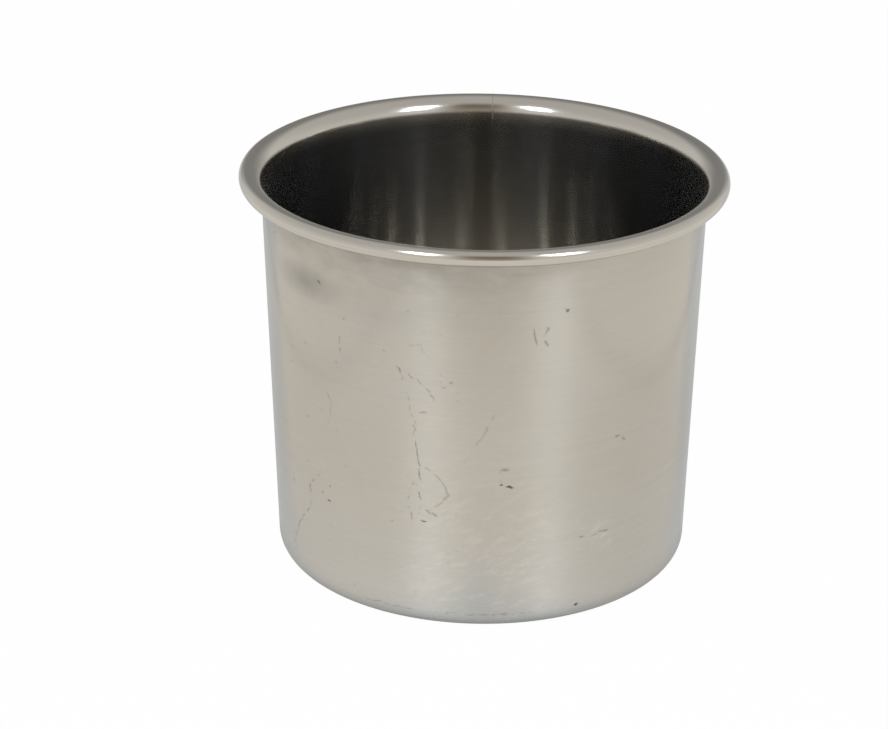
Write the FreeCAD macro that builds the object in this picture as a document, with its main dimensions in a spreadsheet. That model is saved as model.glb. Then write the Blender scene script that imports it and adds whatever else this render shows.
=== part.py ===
"""Deep drawn metal cup: one piece of sheet, drawn, tapered and curled over at the mouth.

The cup stands on its base on z = 0, with its axis on Z and its mouth upwards. The whole shape is
one section of constant thickness turned about the axis: a flat base, a round corner, a wall that
leans out a little, a flare at the mouth, and the edge of the sheet rolled outwards and under into
a bead. Lengths are in millimetres and angles in degrees.
"""

import FreeCAD, Part
import math
import os

import Sketcher

NODE = "cup"

# The driving dimensions: alias, value and what it measures
DIMENSIONS = [
    ("cup_height", 95.4, "from the standing plane to the top of the rim"),
    ("rim_diameter", 114.0, "over the bead"),
    ("base_diameter", 98.0, "of the outside of the wall, carried on straight to the standing plane"),
    ("sheet_thickness", 0.7, "of base, wall and curl alike"),
    ("corner_radius", 4.4, "of the outside of the corner between base and wall"),
    ("flare_radius", 4.0, "of the mouth face of the sheet, where the wall turns outwards"),
    ("bead_radius", 1.8, "of the mouth face of the sheet, where the edge is rolled under"),
    ("curl_angle", 152.0, "turned by the bead from the top of the rim to the cut edge"),
]

# The points of a sketch curve
START = 1
END = 2
CENTRE = 3

# The sketch's own origin and horizontal axis
ORIGIN = (-1, START)
X_AXIS = -1

UNSET = 1.0  # a dimension's value until its expression is worked out


def make_dimensions(doc):
    """Spreadsheet that holds the driving dimensions, one to a row."""
    sheet = doc.addObject("Spreadsheet::Sheet", "Dimensions")
    for row, (alias, value, meaning) in enumerate(DIMENSIONS, start=1):
        sheet.set(f"A{row}", alias)
        sheet.set(f"B{row}", str(value))
        sheet.set(f"C{row}", meaning)
        sheet.setAlias(f"B{row}", alias)
    doc.recompute()
    return sheet


def wall_lean(sheet, flare):
    """Lean of the wall from the vertical, in radians.

    The outside of the wall runs from the base diameter on the standing plane up to the underside
    of the flare, which it meets as a tangent.
    """
    out = flare.x - sheet.base_diameter / 2
    under_radius = sheet.flare_radius - sheet.sheet_thickness
    return math.acos(under_radius / math.hypot(out, flare.y)) - math.atan2(flare.y, out)


def make_arc(centre, radius, start, end):
    """Arc about a centre, anticlockwise from the start angle to the end angle."""
    circle = Part.Circle(centre, FreeCAD.Vector(0, 0, 1), radius)
    return Part.ArcOfCircle(circle, start, end)


def section_curves(sheet):
    """Curves of the half section by name, in order round the sheet from the middle of the base."""
    thickness = sheet.sheet_thickness
    corner_radius = sheet.corner_radius
    bead_x = sheet.rim_diameter / 2 - sheet.bead_radius
    bead = FreeCAD.Vector(bead_x, sheet.cup_height - sheet.bead_radius, 0)
    flare = FreeCAD.Vector(bead_x, sheet.cup_height - sheet.flare_radius, 0)
    lean = wall_lean(sheet, flare)
    corner_x = sheet.base_diameter / 2 + corner_radius * (math.tan(lean) - 1 / math.cos(lean))
    corner = FreeCAD.Vector(corner_x, corner_radius, 0)

    top = math.pi / 2
    cut = top - math.radians(sheet.curl_angle)
    corner_span = (-math.pi / 2, -lean)
    flare_span = (top, math.pi - lean)
    bead_span = (cut, top)

    corner_out = make_arc(corner, corner_radius, *corner_span)
    corner_in = make_arc(corner, corner_radius - thickness, *corner_span)
    flare_top = make_arc(flare, sheet.flare_radius, *flare_span)
    flare_under = make_arc(flare, sheet.flare_radius - thickness, *flare_span)
    bead_top = make_arc(bead, sheet.bead_radius, *bead_span)
    bead_under = make_arc(bead, sheet.bead_radius - thickness, *bead_span)
    middle_out = FreeCAD.Vector(0, 0, 0)
    middle_in = FreeCAD.Vector(0, thickness, 0)
    return {
        "base_out": Part.LineSegment(middle_out, corner_out.StartPoint),
        "corner_out": corner_out,
        "wall_out": Part.LineSegment(corner_out.EndPoint, flare_under.EndPoint),
        "flare_under": flare_under,
        "bead_under": bead_under,
        "cut_edge": Part.LineSegment(bead_under.StartPoint, bead_top.StartPoint),
        "bead_top": bead_top,
        "flare_top": flare_top,
        "wall_in": Part.LineSegment(flare_top.EndPoint, corner_in.EndPoint),
        "corner_in": corner_in,
        "base_in": Part.LineSegment(corner_in.StartPoint, middle_in),
        "axis": Part.LineSegment(middle_in, middle_out),
    }


def constrain_section(sketch, curve, wall_foot):
    """Hold the section's shape, and bind its sizes to the driving dimensions."""

    def tie(kind, *places):
        sketch.addConstraint(Sketcher.Constraint(kind, *places))

    def size(kind, expression, *places):
        row = sketch.addConstraint(Sketcher.Constraint(kind, *places, UNSET))
        sketch.setExpression(f"Constraints[{row}]", expression)

    tie("Coincident", curve["base_out"], START, *ORIGIN)
    tie("Coincident", curve["axis"], END, *ORIGIN)
    tie("Coincident", curve["axis"], START, curve["base_in"], END)
    tie("Vertical", curve["axis"])
    tie("Horizontal", curve["base_out"])
    tie("Horizontal", curve["base_in"])

    # The base, the corner and the wall run smoothly into each other, and so do the flare and bead
    tie("Tangent", curve["base_out"], END, curve["corner_out"], START)
    tie("Tangent", curve["corner_out"], END, curve["wall_out"], START)
    tie("Tangent", curve["wall_out"], END, curve["flare_under"], END)
    tie("Tangent", curve["flare_under"], START, curve["bead_under"], END)
    tie("Tangent", curve["bead_top"], END, curve["flare_top"], START)
    tie("Tangent", curve["flare_top"], END, curve["wall_in"], START)
    tie("Tangent", curve["wall_in"], END, curve["corner_in"], END)
    tie("Tangent", curve["corner_in"], START, curve["base_in"], START)

    # Both faces of each bend share a centre, which keeps the sheet at one thickness
    tie("Coincident", curve["corner_in"], CENTRE, curve["corner_out"], CENTRE)
    tie("Coincident", curve["flare_under"], CENTRE, curve["flare_top"], CENTRE)
    tie("Coincident", curve["bead_under"], CENTRE, curve["bead_top"], CENTRE)
    tie("Parallel", curve["wall_in"], curve["wall_out"])
    tie("Vertical", curve["bead_top"], CENTRE, curve["flare_top"], CENTRE)

    # The sheet is cut square at its edge
    tie("Perpendicular", curve["cut_edge"], START, curve["bead_under"], START)
    tie("Coincident", curve["cut_edge"], END, curve["bead_top"], START)

    tie("PointOnObject", wall_foot, START, X_AXIS)
    tie("PointOnObject", wall_foot, START, curve["wall_out"])
    size("DistanceX", "Dimensions.base_diameter / 2", *ORIGIN, wall_foot, START)
    size("DistanceY", "Dimensions.sheet_thickness", curve["axis"], END, curve["axis"], START)
    size("DistanceY", "Dimensions.cup_height", *ORIGIN, curve["bead_top"], END)
    rim_reach = "Dimensions.rim_diameter / 2 - Dimensions.bead_radius"
    size("DistanceX", rim_reach, *ORIGIN, curve["bead_top"], CENTRE)
    size("Radius", "Dimensions.corner_radius", curve["corner_out"])
    size("Radius", "Dimensions.flare_radius", curve["flare_top"])
    size("Radius", "Dimensions.bead_radius", curve["bead_top"])
    size("Angle", "(90 - Dimensions.curl_angle) * 1 deg", curve["cut_edge"])


def origin_feature(body, role):
    """Plane or axis of a body's own origin."""
    return next(feature for feature in body.Origin.OriginFeatures if feature.Role == role)


def make_cup(doc, sheet):
    """The drawn cup: its half section turned once about the Z axis."""
    body = doc.addObject("PartDesign::Body", NODE)
    body.Label = NODE

    sketch = body.newObject("Sketcher::SketchObject", "SheetSection")
    sketch.AttachmentSupport = (origin_feature(body, "XZ_Plane"), [""])
    sketch.MapMode = "FlatFace"
    curve = {name: sketch.addGeometry(shape) for name, shape in section_curves(sheet).items()}
    foot = FreeCAD.Vector(sheet.base_diameter / 2, 0, 0)
    wall_foot = sketch.addGeometry(Part.Point(foot), True)
    constrain_section(sketch, curve, wall_foot)

    drawn = body.newObject("PartDesign::Revolution", "DrawnSheet")
    drawn.Profile = sketch
    drawn.ReferenceAxis = (sketch, ["V_Axis"])
    drawn.Angle = 360
    body.Tip = drawn
    body.Placement = FreeCAD.Placement()
    doc.recompute()
    return body


def check(doc, body):
    """Stop if an object failed, the section can still move, or the cup is not one sound solid."""
    for item in doc.Objects:
        if "Invalid" in item.State or "Error" in item.State:
            raise RuntimeError(f"{item.Label} failed: {item.State}")
    sketch = doc.getObject("SheetSection")
    if not sketch.FullyConstrained:
        raise RuntimeError("the section is not fully constrained")
    if body.Shape.isNull() or not body.Shape.isValid() or len(body.Shape.Solids) != 1:
        raise RuntimeError("the cup is not one valid solid")


def main():
    doc = FreeCAD.newDocument("DrawnCup")
    sheet = make_dimensions(doc)
    cup = make_cup(doc, sheet)
    check(doc, cup)

    box = cup.Shape.optimalBoundingBox()
    print(f"size {box.XLength:.2f} x {box.YLength:.2f} x {box.ZLength:.2f} mm")
    print(f"sheet volume {cup.Shape.Volume:.0f} mm3")
    os.makedirs("parts", exist_ok=True)
    cup.Shape.exportStep(f"parts/{NODE}.step")


main()
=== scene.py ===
"""Deep drawn metal cup: one shell of polished stainless sheet, flared at the mouth, its edge rolled.

The shell is made as a spinner would draw it. The section of the inner face is a wire of runs and
bends, which is spun about the upright axis and given the thickness of the sheet. Lengths are in
metres once multiplied by MM, and Z is up, with the cup's axis on it and its base on Z = 0.
"""

import math

import bpy
from mathutils import Matrix, Vector


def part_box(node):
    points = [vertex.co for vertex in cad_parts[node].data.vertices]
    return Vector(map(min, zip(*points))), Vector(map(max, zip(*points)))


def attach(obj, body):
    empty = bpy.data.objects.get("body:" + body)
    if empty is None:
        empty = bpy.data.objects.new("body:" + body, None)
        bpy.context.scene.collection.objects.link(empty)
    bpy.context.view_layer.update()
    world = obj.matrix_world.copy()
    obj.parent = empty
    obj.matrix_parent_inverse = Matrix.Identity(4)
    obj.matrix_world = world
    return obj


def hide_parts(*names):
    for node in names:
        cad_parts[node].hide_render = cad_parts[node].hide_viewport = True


MM = 0.001

# The drawn sheet
SHEET = 0.7 * MM
CORNER_RADIUS = 4.4 * MM
FLARE_RADIUS = 4.0 * MM
BEAD_RADIUS = 1.8 * MM
CURL_ANGLE = math.radians(152)
BASE_DIAMETER = 98 * MM

# How finely the section is divided, and the shell round its axis
BASE_STEPS = 10
CORNER_STEPS = 10
WALL_STEPS = 36
FLARE_STEPS = 14
BEAD_STEPS = 22
ROUND_STEPS = 384

# The mouth leans to one side by a hair, which grows from nothing at the base
MOUTH_LEAN = -0.0075

# How far the wall steps out for each unit of its height
WALL_SLOPE = 0.032

# The wall's middling radius, and where the bead has split, both in millimetres
WALL_RADIUS = 50
SPLIT_SIDE = 1.9

# Where the wall's outside meets the underside of the flare
WALL_TOP = 90.8 * MM

# Where the inside turns over into the rim
RIM_FOOT = 92.4 * MM

# The rim's polish starts this far up, in millimetres, and is whole after so many more
RIM_FROM = 88.0
RIM_OVER = 4.0

# The wheel's lines and the depth they are cut to: how often they change in a millimetre each way
WHEEL_LINES = (0.015, 0.015, 1.9)
LINE_DEPTH = 0.02 * MM

# Roughness of the polished and the brushed gloss, and how far the brush draws the gloss out
WALL_ROUGH = 0.10
INSIDE_ROUGH = 0.092
RIM_ROUGHER = 0.078
BRUSHED_ROUGH = 0.42
DRAWN_OUT = 0.95
RIM_DRAWN_OUT = 0.4

# The steel's colour: its two hazes, rubbed bare by use, bright inside, and painted shade in there
STEEL_COOL = (0.62, 0.598, 0.55, 1)
STEEL_WARM = (0.65, 0.60, 0.515, 1)
STEEL_RUBBED = (0.68, 0.663, 0.622, 1)
STEEL_BRIGHT = (0.81, 0.784, 0.728, 1)
PAINTED_INSIDE_SHADE = (0.08, 0.09, 0.107, 1)

# The paper under the cup, as the steel shows it: half its width in millimetres, and its colour in
# lamp and day light
PAPER_HALF_WIDTH = 157
WARM_PAPER = (0.90, 0.87, 0.825, 1)
DAYLIT_PAPER = (0.68, 0.715, 0.745, 1)

# The soft boxes' cool light, and the warm clothes of whoever stands before the cup
COOL_LIGHT = (0.90, 0.98, 1.10)
WARM_CLOTHES = (1.0, 0.76, 0.52, 1)

WHITE = (1, 1, 1, 1)

# The floor: its size, where the cup's foot meets it in millimetres, and how far it glows by itself
# to the eye and in the steel
FLOOR_SIZE = 8
FOOT_RADIUS = 47.0
GLOW_SEEN = 0.985
GLOW_MIRRORED = 0.75

# Which way the maker stands from the cup, just right of its front
MAKER_WAY = (0.087, -0.996)

# The soft boxes: how high and far off they hang, and how tall they are
LIGHT_ELEVATION = math.radians(40)
LIGHT_DISTANCE = 1.2
LIGHT_HEIGHT = 0.46
LIGHT_AIM = Vector((0, 0, 0.05))

# The camera's stand, what it looks at, its tilt and its lens
CAMERA_PLACE = Vector((0, -0.62907, 0.31390))
CAMERA_AIM = Vector((-0.00918, 0, 0.04532))
CAMERA_ROLL = math.radians(0.264)
CAMERA_LENS = 116.018
CAMERA_SENSOR = 36


class Shade:
    """A shader socket that can be written in sums: each operator adds its Math node."""

    def __init__(self, maker, socket):
        self.maker = maker
        self.socket = socket

    def _join(self, kind, *terms):
        return self.maker.math(kind, *terms)

    def __add__(self, other):
        return self._join("ADD", self, other)

    def __radd__(self, other):
        return self._join("ADD", other, self)

    def __sub__(self, other):
        return self._join("SUBTRACT", self, other)

    def __rsub__(self, other):
        return self._join("SUBTRACT", other, self)

    def __mul__(self, other):
        return self._join("MULTIPLY", self, other)

    def __rmul__(self, other):
        return self._join("MULTIPLY", other, self)

    def __truediv__(self, other):
        return self._join("DIVIDE", self, other)

    def __rtruediv__(self, other):
        return self._join("DIVIDE", other, self)

    def __gt__(self, other):
        return self._join("GREATER_THAN", self, other)

    def __lt__(self, other):
        return self._join("LESS_THAN", self, other)


class Finish:
    """The node tree of one material or of the world, and the means to add nodes to it."""

    def __init__(self, owner):
        owner.use_nodes = True
        self.tree = owner.node_tree
        self.tree.nodes.clear()

    def node(self, kind, settings=None, **sockets):
        """Adds a node, sets its settings first and then the values or links of its sockets."""
        made = self.tree.nodes.new(kind)
        for name, value in (settings or {}).items():
            setattr(made, name, value)
        for name, value in sockets.items():
            self.plug(made, name.replace("_", " "), value)
        return made

    def plug(self, node, name, value):
        """Gives one socket, by its name or number, a value or a link."""
        socket = node.inputs[int(name) if name.isdigit() else name]
        if isinstance(value, Shade):
            self.tree.links.new(value.socket, socket)
        else:
            socket.default_value = value

    def out(self, node, name=0):
        return Shade(self, node.outputs[name])

    def math(self, kind, *terms, clamp=False):
        made = self.node("ShaderNodeMath", {"operation": kind, "use_clamp": clamp})
        for place, term in enumerate(terms):
            self.plug(made, str(place), term)
        return self.out(made)

    def colour(self, share, first, second):
        """The first colour, turned into the second by its share."""
        made = self.node("ShaderNodeMix", {"data_type": "RGBA"})
        self.plug(made, "0", share)
        self.plug(made, "6", first)
        self.plug(made, "7", second)
        return self.out(made, 2)

    def scaled(self, vector, by):
        made = self.node("ShaderNodeVectorMath", {"operation": "MULTIPLY"})
        self.plug(made, "0", vector)
        self.plug(made, "1", by)
        return self.out(made)

    def tinted(self, colour, level):
        """A colour made lighter or darker by a level."""
        made = self.node("ShaderNodeVectorMath", {"operation": "SCALE"}, Vector=colour, Scale=level)
        return self.out(made)

    def steel(self, colour, rough, normal, drawn_out=DRAWN_OUT):
        """Bare steel whose gloss is drawn out across the polishing lines, by none to one."""
        made = self.node(
            "ShaderNodeBsdfPrincipled",
            Base_Color=colour,
            Metallic=1.0,
            Roughness=rough,
            Anisotropic=drawn_out,
            Anisotropic_Rotation=0.25,
            Normal=normal,
        )
        return self.out(made)

    def mixed(self, share, first, second):
        """The first shader, turned into the second by its share."""
        made = self.node("ShaderNodeMixShader", Fac=share)
        self.plug(made, "1", first)
        self.plug(made, "2", second)
        return self.out(made)

    def ramp(self, value, *stops):
        """A value read off a line through the stops, each a place and its level."""
        made = self.node("ShaderNodeValToRGB", Fac=value)
        elements = made.color_ramp.elements
        while len(elements) < len(stops):
            elements.new(1.0)
        for element, (place, level) in zip(elements, stops):
            element.position = place
            element.color = (level, level, level, 1)
        return self.out(made)


class Surface:
    """Where a point of the cup lies, in millimetres: round the wall from its front, and up it."""

    def __init__(self, f):
        self.f = f
        place = f.node("ShaderNodeTexCoord")
        self.place = f.scaled(f.out(place, "Object"), (1 / MM, 1 / MM, 1 / MM))
        split = f.node("ShaderNodeSeparateXYZ", Vector=self.place)
        self.x = f.out(split, "X")
        self.y = f.out(split, "Y")
        self.up = f.out(split, "Z")
        self.radius = f.math("SQRT", self.x * self.x + self.y * self.y)
        self.round = f.math("ARCTAN2", self.x, self.y * -1.0) * WALL_RADIUS

    def shake(self, far):
        """Makes what is drawn after it wander a little to and fro."""
        f = self.f
        made = f.node("ShaderNodeTexNoise", Vector=self.place, Scale=0.45, Detail=2.0)
        parts = f.node("ShaderNodeSeparateColor", Color=f.out(made, 1))
        self.round = self.round + (f.out(parts, 0) - 0.5) * far * 2
        self.up = self.up + (f.out(parts, 1) - 0.5) * far * 2

    def by_side(self, *stops):
        """A level read off the place round the wall, from its left at none to its right at one."""
        return self.f.ramp((self.round + 80.0) / 160.0, *stops)

    def by_height(self, *stops):
        """A level read off the height, from none at the base to one a hundred millimetres up."""
        return self.f.ramp(self.up / 100.0, *stops)

    def noise(self, spread, detail=3.0, rough=0.5):
        """Cloudy variation, from none to one; spread is how often it changes in a millimetre."""
        f = self.f
        place = f.scaled(self.place, spread)
        made = f.node("ShaderNodeTexNoise", Vector=place, Scale=1.0, Detail=detail, Roughness=rough)
        return f.out(made)

    def spot(self, at, size, soft=1.0):
        """One or more inside a patch of that place and half size, and below none well outside it."""
        f = self.f
        across = (self.round - at[0]) / size[0]
        along = (self.up - at[1]) / size[1]
        far = f.math("SQRT", across * across + along * along)
        return f.math("SUBTRACT", 1.0 + soft / 2, far) / soft

    def specks(self, often, size):
        """Pin-prick marks: one in the middle of each, and none beside it."""
        f = self.f
        place = f.scaled(self.place, (often, often, often))
        made = f.node("ShaderNodeTexVoronoi", Vector=place, Scale=1.0, Randomness=1.0)
        parts = f.node("ShaderNodeSeparateColor", Color=f.out(made, "Color"))
        few = f.out(parts, 0) > 0.9
        return f.math("SUBTRACT", 1.0, f.out(made, "Distance") / size, clamp=True) * few

    def strokes(self):
        """Slanting, drawn-out cloudy variation, as rubbing leaves it."""
        f = self.f
        along = (self.round + self.up * 0.7) * 0.16
        across = (self.up - self.round * 0.45) * 0.6
        place = f.node("ShaderNodeCombineXYZ", X=along, Y=across)
        place = f.out(place)
        made = f.node("ShaderNodeTexNoise", Vector=place, Scale=1.0, Detail=4.0, Roughness=0.6)
        return f.out(made)

    def line(self, points, width):
        """One on a line through the points, and none a width away from it."""
        f = self.f
        near = None
        for (a, b), (c, d) in zip(points, points[1:]):
            run_a = c - a
            run_b = d - b
            length = run_a * run_a + run_b * run_b
            left = self.round - a
            rise = self.up - b
            share = f.math("MULTIPLY", left * run_a + rise * run_b, 1 / length, clamp=True)
            off_a = left - share * run_a
            off_b = rise - share * run_b
            gap = off_a * off_a + off_b * off_b
            near = gap if near is None else f.math("MINIMUM", near, gap)
        return f.math("SUBTRACT", 1.0, f.math("SQRT", near) / width, clamp=True)


def most(f, *masks):
    """The strongest of several masks."""
    strongest = masks[0]
    for mask in masks[1:]:
        strongest = f.math("MAXIMUM", strongest, mask)
    return strongest


def mouth_finish(name, drawn_out):
    """The inside or the rolled rim: brightly polished, with the wheel's lines round them."""
    material = bpy.data.materials.new(name)
    f = Finish(material)
    at = Surface(f)
    rim = f.ramp((at.up - RIM_FROM) / RIM_OVER, (0.0, 0.0), (1.0, 1.0))
    lines = at.noise(WHEEL_LINES, detail=4.0, rough=0.6)
    haze = at.noise((0.05, 0.05, 0.05), detail=4.0)

    # A hairline split across the bead, where the sheet was drawn furthest
    split = f.math("SUBTRACT", 1.0, f.math("ABSOLUTE", at.x - SPLIT_SIDE) / 0.2, clamp=True)
    split = split * (at.y > 0.0) * rim

    shade = 1.0 - split * 0.3 + (lines - 0.5) * 0.08 * (1.0 - rim)
    tint = f.colour(rim, STEEL_BRIGHT, f.colour(haze, STEEL_COOL, STEEL_WARM))
    tint = f.tinted(tint, shade)
    bump = f.node("ShaderNodeBump", Strength=0.2, Distance=LINE_DEPTH, Height=lines)
    rough = INSIDE_ROUGH + rim * RIM_ROUGHER + (lines - 0.5) * 0.06 + (haze - 0.5) * 0.04 + split * 0.2
    polished = f.steel(tint, rough, f.out(bump), drawn_out)
    # A near-black bluish gloss mixed into the inside below the rim: painted shade in the hollow
    brushed = f.steel(PAINTED_INSIDE_SHADE, BRUSHED_ROUGH, f.out(bump))
    both = f.mixed((1.0 - rim) * (0.06 + haze * 0.15), polished, brushed)
    f.node("ShaderNodeOutputMaterial", Surface=both)
    return material


def wall_finish():
    """The outside: polished once, then hazed, rubbed and scratched by use, with painted shade and light
    on it.
    """
    material = bpy.data.materials.new("worn_wall_with_painted_shade")
    f = Finish(material)
    at = Surface(f)

    # The wheel's lines, the haze over them, and the paler rubbed patches low on the wall
    lines = at.noise(WHEEL_LINES, detail=4.0, rough=0.6)
    haze = at.noise((0.035, 0.035, 0.06), detail=5.0, rough=0.55)
    cloud = at.noise((0.10, 0.10, 0.22), detail=6.0, rough=0.62)
    low_down = at.by_height((0.0, 1.0), (0.24, 0.9), (0.4, 0.2), (0.9, 0.1))
    rubbed = f.ramp(cloud, (0.50, 0.0), (0.62, 1.0)) * low_down
    rubbed = rubbed * at.by_side((0.3, 0.5), (0.45, 1.0), (0.56, 1.0), (0.66, 0.3))

    # Scratches, knocks and a smudge on the wall
    broken = f.ramp(at.noise((0.9, 0.9, 0.8), detail=3.0), (0.47, 0.0), (0.53, 1.0))
    at.shake(0.9)
    scuffs = f.ramp(at.strokes(), (0.53, 0.0), (0.60, 1.0)) * low_down
    patch = at.spot((28.0, 21.0), (6.0, 3.6), soft=0.7)
    middle = at.by_side((0.38, 0.1), (0.46, 1.0), (0.55, 1.0), (0.63, 0.15))
    scuffs = scuffs * most(f, middle, patch)
    scratches = most(
        f,
        at.line(((-18.9, 65.2), (-17.2, 60.1), (-15.4, 53.0)), 0.3) * 0.7,
        at.line(((-15.4, 53.0), (-15.0, 48.1), (-13.8, 37.7), (-13.9, 32.6)), 0.3) * 1.2,
        at.line(((-15.2, 37.5), (-17.0, 31.9), (-15.6, 26.5)), 0.3) * 0.8,
        at.line(((-13.3, 41.1), (-10.8, 40.1), (-8.5, 37.3), (-7.4, 34.6)), 0.3) * 0.7,
        at.line(((-7.4, 34.6), (-10.8, 30.7), (-14.1, 29.5)), 0.3) * 0.7,
        at.line(((-14.1, 30.8), (-9.2, 28.6)), 0.4),
        at.line(((-41.6, 32.7), (-45.9, 27.2), (-45.9, 22.0), (-50.4, 17.3), (-55.1, 9.4)), 0.4) * 0.7,
        at.line(((-16.0, 70.5), (-13.3, 71.6), (-12.7, 69.2), (-10.7, 68.2)), 0.25) * 0.5,
        at.line(((-16.5, 63.5), (-12.4, 61.2), (-10.6, 58.2), (-11.4, 55.4), (-13.8, 54.4)), 0.3) * 0.8,
        at.line(((-38.5, 55.0), (-36.8, 51.0), (-38.0, 47.5)), 0.3) * 0.6,
        at.line(((-6.6, 62.7), (-9.2, 60.6)), 0.35) * 0.7,
        at.line(((-5.9, 58.6), (-7.7, 57.3)), 0.3) * 0.7,
        at.line(((-33.6, 69.0), (-33.7, 65.1)), 0.3) * 0.8,
        at.line(((2.6, 54.9), (0.2, 49.2), (-3.8, 43.1)), 0.35) * 0.4,
        at.line(((11.0, 75.3), (11.5, 71.1)), 0.35) * 0.9,
        at.line(((14.1, 75.4), (13.3, 72.9), (14.2, 70.9)), 0.35) * 0.9,
        at.line(((4.0, 41.0), (4.5, 37.4)), 0.25) * 0.5,
        at.line(((23.7, 21.9), (27.7, 21.7), (31.1, 22.0)), 0.3) * 0.9,
        at.line(((32.4, 45.4), (35.2, 44.1)), 0.35) * 0.8,
        at.line(((-28.0, 4.1), (12.0, 4.1)), 0.3) * 0.6,
    )
    knocks = most(
        f,
        at.spot((4.4, 37.4), (0.35, 0.25)),
        at.spot((6.4, 36.8), (0.75, 0.3)),
        at.spot((5.2, 41.1), (0.9, 0.45)) * 0.35,
        at.spot((18.3, 79.2), (0.35, 0.5)) * 0.7,
        at.spot((23.0, 4.5), (0.5, 0.35)),
        at.spot((-39.6, 80.4), (0.5, 0.25)) * 0.4,
        at.spot((-38.9, 26.2), (0.4, 0.3)) * 0.8,
        at.spot((-13.2, 27.1), (0.7, 0.2)) * 0.8,
    )
    knocks = f.math("MAXIMUM", knocks, 0.0)
    smudge = f.math("MAXIMUM", at.spot((-44.5, 79.2), (8.5, 3.0), soft=1.2), 0.0) * (0.4 + haze)
    paler = f.math("MAXIMUM", patch, 0.0) * cloud * 1.4
    rubbed = f.math("MINIMUM", f.math("MAXIMUM", rubbed, paler), 1.0)
    front = at.y < 0.0
    specks = at.specks(0.55, 0.2) * at.by_side((0.2, 1.0), (0.36, 0.8), (0.5, 0.3))
    marks = f.math("MINIMUM", scratches * broken * 0.6 + knocks + specks * 0.8, 1.0) * front

    # Painted shade under the bead, and the steel paler and more neutral towards the base
    under_bead_shade = at.by_height((0.70, 0.0), (0.82, 0.33), (0.875, 0.75), (0.90, 1.0))
    under_bead_shade = under_bead_shade * f.ramp(cloud, (0.38, 0.45), (0.6, 1.0))
    under_bead_shade = under_bead_shade * at.by_side((0.0, 0.5), (0.3, 1.0), (0.53, 1.0), (0.62, 0.2))
    # Painted shade low at both sides, and painted light low in the middle of the front
    low_front = at.by_height((0.0, 1.0), (0.25, 0.8), (0.5, 0.7), (0.66, 0.0)) * front
    painted_side_shade = low_front * at.by_side((0.15, 0.8), (0.30, 0.0), (0.58, 0.0), (0.74, 1.0))
    painted_middle_light = low_front * at.by_side((0.36, 0.0), (0.46, 1.0), (0.53, 1.0), (0.60, 0.0))
    foot = at.by_height((0.02, 0.75), (0.14, 0.5), (0.34, 0.0))

    tint = f.colour(haze, STEEL_COOL, STEEL_WARM)
    tint = f.colour(f.math("MAXIMUM", rubbed * 0.4, foot), tint, STEEL_RUBBED)
    # The shade below takes in the painted shade under the bead and at the sides, and the painted light
    # in the middle
    shade = 1.0 - marks * 0.7 - smudge * front * 0.26 + (lines - 0.5) * 0.10 - under_bead_shade * 0.3
    shade = shade + rubbed * 0.035 + scuffs * 0.09 - painted_side_shade * 0.10 + painted_middle_light * 0.08
    tint = f.tinted(tint, shade)

    bump = f.node("ShaderNodeBump", Strength=0.25, Distance=LINE_DEPTH, Height=lines)
    polished = f.steel(tint, WALL_ROUGH + marks * 0.3 + (lines - 0.5) * 0.08, f.out(bump))
    brushed = f.steel(tint, BRUSHED_ROUGH + marks * 0.2, f.out(bump))
    share = 0.48 + (haze - 0.5) * 0.3 + rubbed * 0.10 + marks * 0.3
    f.node("ShaderNodeOutputMaterial", Surface=f.mixed(share, polished, brushed))
    return material


def lay_finishes(cup):
    """The worn finish with painted shade goes on the outside of the wall and base, the bright ones on
    the rest.
    """
    cup.data.materials.append(mouth_finish("polished_inside", DRAWN_OUT))
    cup.data.materials.append(wall_finish())
    cup.data.materials.append(mouth_finish("polished_rim", RIM_DRAWN_OUT))
    for face in cup.data.polygons:
        middle = face.center
        wall_middle = (BASE_DIAMETER - SHEET) / 2 + middle.z * WALL_SLOPE
        outside = math.hypot(middle.x, middle.y) > wall_middle or middle.z < SHEET / 2
        if outside and middle.z < WALL_TOP:
            face.material_index = 1
        else:
            face.material_index = 2 if outside or middle.z > RIM_FOOT else 0


def deselect():
    bpy.ops.object.select_all(action="DESELECT")
    bpy.context.view_layer.objects.active = None


def run(end, steps):
    """Carries the wire on from its last point in a straight run, in equal steps."""
    for _ in range(steps):
        bpy.ops.mesh.extrude_vertices_move(TRANSFORM_OT_translate={"value": end / steps})


def bend(centre, turn, steps):
    """Carries the wire on from its last point round a bend; a positive turn is upwards."""
    bpy.ops.mesh.spin(
        steps=steps, angle=turn, center=centre, axis=(0, 1, 0), use_auto_merge=False
    )


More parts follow.
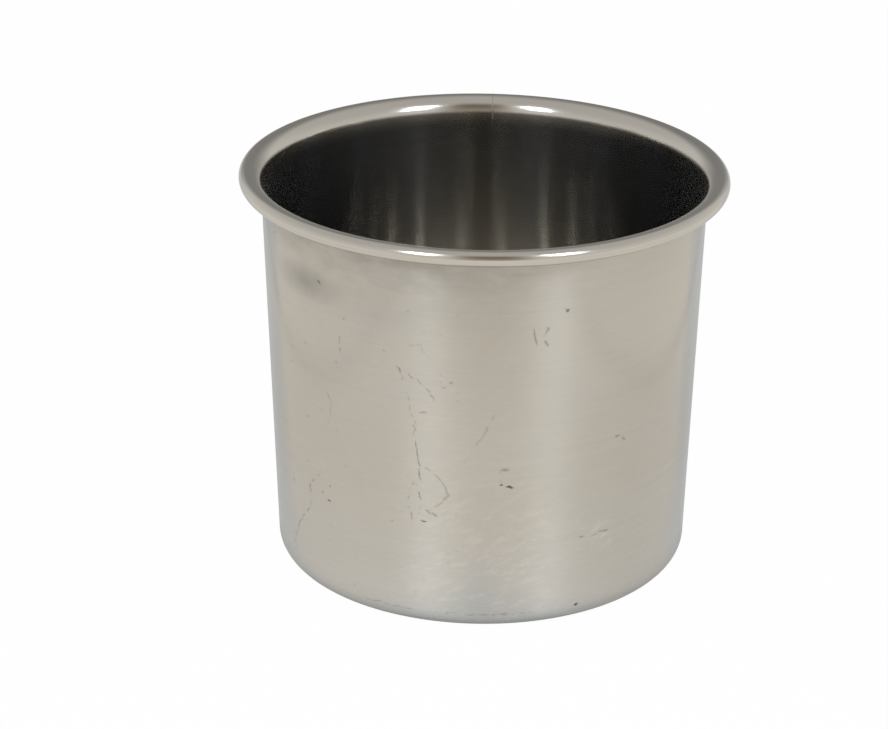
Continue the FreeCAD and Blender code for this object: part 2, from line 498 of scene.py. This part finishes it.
def draw_shell(height, rim_radius):
    """The cup's sheet: its section is drawn as a wire, spun about the axis and thickened."""
    bead_x = rim_radius - BEAD_RADIUS
    bead = Vector((bead_x, 0, height - BEAD_RADIUS))
    flare = Vector((bead_x, 0, height - FLARE_RADIUS))
    out = bead_x - BASE_DIAMETER / 2
    lean = math.acos((FLARE_RADIUS - SHEET) / math.hypot(out, flare.z)) - math.atan2(flare.z, out)
    corner_x = BASE_DIAMETER / 2 + CORNER_RADIUS * (math.tan(lean) - 1 / math.cos(lean))
    corner = Vector((corner_x, 0, CORNER_RADIUS))
    across = Vector((math.cos(lean), 0, -math.sin(lean)))
    wall_foot = corner + across * (CORNER_RADIUS - SHEET)
    wall_head = flare - across * FLARE_RADIUS

    deselect()
    bpy.ops.mesh.primitive_plane_add(size=MM, location=(0, 0, SHEET))
    cup = bpy.context.object
    cup.name = "drawn_cup"
    bpy.ops.object.transform_apply(location=True)
    bpy.ops.object.mode_set(mode="EDIT")
    bpy.ops.mesh.merge(type="CENTER")
    run(Vector((corner_x, 0, 0)), BASE_STEPS)
    bend(corner, math.pi / 2 - lean, CORNER_STEPS)
    run(wall_head - wall_foot, WALL_STEPS)
    bend(flare, lean - math.pi / 2, FLARE_STEPS)
    bend(bead, -CURL_ANGLE, BEAD_STEPS)
    bpy.ops.mesh.select_all(action="SELECT")
    bpy.ops.mesh.spin(steps=ROUND_STEPS, angle=math.tau, center=(0, 0, 0), axis=(0, 0, 1))
    bpy.ops.mesh.select_all(action="SELECT")
    bpy.ops.mesh.remove_doubles(threshold=0.01 * MM)
    bpy.ops.mesh.normals_make_consistent(inside=False)
    bpy.ops.object.mode_set(mode="OBJECT")

    sheet = cup.modifiers.new("sheet", "SOLIDIFY")
    sheet.thickness = SHEET
    sheet.offset = -1
    sheet.use_even_offset = True
    bpy.ops.object.modifier_apply(modifier=sheet.name)
    return cup


def lean_mouth(cup, height, rim_radius):
    """Lets the mouth down on one side, more towards the top, with a cage round the cup."""
    deselect()
    bpy.ops.object.add(type="LATTICE", location=(0, 0, height / 2))
    cage = bpy.context.object
    cage.scale = (2 * rim_radius, 2 * rim_radius, height)
    for way in "uvw":
        setattr(cage.data, f"interpolation_type_{way}", "KEY_LINEAR")
    bpy.context.view_layer.update()
    for point in cage.data.points:
        if point.co.z > 0:
            point.co_deform.z += MOUTH_LEAN * point.co.x * 2 * rim_radius / height
    deselect()
    cup.select_set(True)
    bpy.context.view_layer.objects.active = cup
    hold = cup.modifiers.new("cage", "LATTICE")
    hold.object = cage
    bpy.ops.object.modifier_apply(modifier=hold.name)
    bpy.data.objects.remove(cage)


def soft_light(name, azimuth, width, power):
    """A soft box, aimed at the middle of the cup; azimuth is from the camera's side to the right."""
    light = bpy.data.lights.new(name, "AREA")
    light.shape = "RECTANGLE"
    light.size = width
    light.size_y = LIGHT_HEIGHT
    light.energy = power
    light.color = COOL_LIGHT
    lamp = bpy.data.objects.new(name, light)
    bpy.context.scene.collection.objects.link(lamp)
    a = math.radians(azimuth)
    e = LIGHT_ELEVATION
    way = Vector((math.sin(a) * math.cos(e), -math.cos(a) * math.cos(e), math.sin(e)))
    lamp.location = LIGHT_AIM + way * LIGHT_DISTANCE
    lamp.rotation_euler = way.to_track_quat("Z", "Y").to_euler()
    lamp.visible_camera = False


def make_floor():
    """A wide white floor, with the cup on a warm sheet of paper that only its steel shows."""
    deselect()
    bpy.ops.mesh.primitive_plane_add(size=FLOOR_SIZE)
    floor = bpy.context.object
    floor.name = "floor"
    material = bpy.data.materials.new("white_floor")
    f = Finish(material)
    path = f.node("ShaderNodeLightPath")
    place = f.node("ShaderNodeTexCoord")
    split = f.node("ShaderNodeSeparateXYZ", Vector=f.out(place, "Object"))
    side = f.math("ABSOLUTE", f.out(split, "X") / MM)
    back = f.out(split, "Y") / MM
    daylit = f.ramp((back + 22.0 - (side - FOOT_RADIUS) * 1.1) / 26.0 + 0.5, (0.0, 0.0), (1.0, 1.0))
    edge = f.math("ABSOLUTE", side - PAPER_HALF_WIDTH) / 7.0
    edge = f.ramp(edge, (0.0, 0.62), (0.5, 0.75), (1.0, 1.0))
    away = f.math("SQRT", side * side + back * back)
    # Painted shadow: the floor as the steel sees it is darker round the cup's foot
    painted_foot_shadow = f.ramp((away - FOOT_RADIUS) / 8.0, (0.0, 0.5), (0.4, 0.75), (1.0, 1.0))
    shown = f.colour(daylit, WARM_PAPER, DAYLIT_PAPER)
    mirror = f.out(path, "Is Glossy Ray")
    seen = f.out(path, "Is Camera Ray") * GLOW_SEEN + mirror * GLOW_MIRRORED
    paper = f.node("ShaderNodeBsdfDiffuse", Color=(0.8, 0.8, 0.8, 1))
    glow = f.node(
        "ShaderNodeEmission",
        Color=f.colour(mirror, WHITE, shown),
        Strength=1.0 - mirror * (1.0 - edge * painted_foot_shadow),
    )
    f.node("ShaderNodeOutputMaterial", Surface=f.mixed(seen, f.out(paper), f.out(glow)))
    floor.data.materials.append(material)


def make_world():
    """A pale room, dimmer overhead, with a dark doorway behind the cup and the maker in front."""
    world = bpy.data.worlds.new("studio")
    bpy.context.scene.world = world
    f = Finish(world)
    path = f.node("ShaderNodeLightPath")
    place = f.node("ShaderNodeTexCoord")
    split = f.node("ShaderNodeSeparateXYZ", Vector=f.out(place, "Generated"))
    x = f.out(split, "X")
    y = f.out(split, "Y")
    z = f.out(split, "Z")
    level_reach = f.math("SQRT", x * x + y * y)
    room = f.ramp(z, (0.0, 0.72), (0.3, 0.70), (0.6, 0.60), (1.0, 0.56))
    doorway = f.ramp(y / level_reach, (0.80, 0.0), (0.985, 0.62))
    doorway = doorway * f.ramp(z, (0.0, 0.75), (0.12, 1.0), (0.6, 0.9), (0.95, 0.0))
    maker = f.ramp((x * MAKER_WAY[0] + y * MAKER_WAY[1]) / level_reach, (0.93, 0.0), (0.99, 0.70))
    maker = maker * f.ramp(z, (0.0, 0.6), (0.7, 1.0), (0.92, 0.0))
    level = room * (1.0 - doorway) * (1.0 - maker)
    dyed = f.colour(maker, WHITE, WARM_CLOTHES)
    around = f.node("ShaderNodeBackground", Color=dyed, Strength=level)
    white = f.node("ShaderNodeBackground", Color=WHITE, Strength=1.0)
    either = f.mixed(f.out(path, "Is Camera Ray"), f.out(around), f.out(white))
    f.node("ShaderNodeOutputWorld", Surface=either)


def make_camera():
    """Looks down at the cup from its front, a long lens's distance away."""
    data = bpy.data.cameras.new("camera")
    data.sensor_width = CAMERA_SENSOR
    data.lens = CAMERA_LENS
    camera = bpy.data.objects.new("camera", data)
    bpy.context.scene.collection.objects.link(camera)
    turned = (CAMERA_PLACE - CAMERA_AIM).to_track_quat("Z", "Y").to_matrix()
    turned = turned @ Matrix.Rotation(CAMERA_ROLL, 3, "Z")
    camera.location = CAMERA_PLACE
    camera.rotation_euler = turned.to_euler()
    bpy.context.scene.camera = camera


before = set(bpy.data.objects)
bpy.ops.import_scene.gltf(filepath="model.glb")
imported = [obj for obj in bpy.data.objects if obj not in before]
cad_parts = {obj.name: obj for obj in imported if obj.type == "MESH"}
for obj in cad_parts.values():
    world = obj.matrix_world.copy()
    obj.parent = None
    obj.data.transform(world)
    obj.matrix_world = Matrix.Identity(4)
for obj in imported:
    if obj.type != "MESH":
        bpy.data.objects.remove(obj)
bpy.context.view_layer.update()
_, top_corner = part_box("cup")
height = top_corner.z
rim_radius = top_corner.x

make_camera()
cup = draw_shell(height, rim_radius)
lean_mouth(cup, height, rim_radius)
bpy.ops.object.shade_smooth()
lay_finishes(cup)
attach(cup, "root")
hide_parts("cup")

make_floor()
make_world()
soft_light("left_soft_box", azimuth=-31, width=0.21, power=2.0)
soft_light("right_soft_box", azimuth=41, width=0.25, power=2.4)

scene = bpy.context.scene
scene.view_settings.view_transform = "Standard"
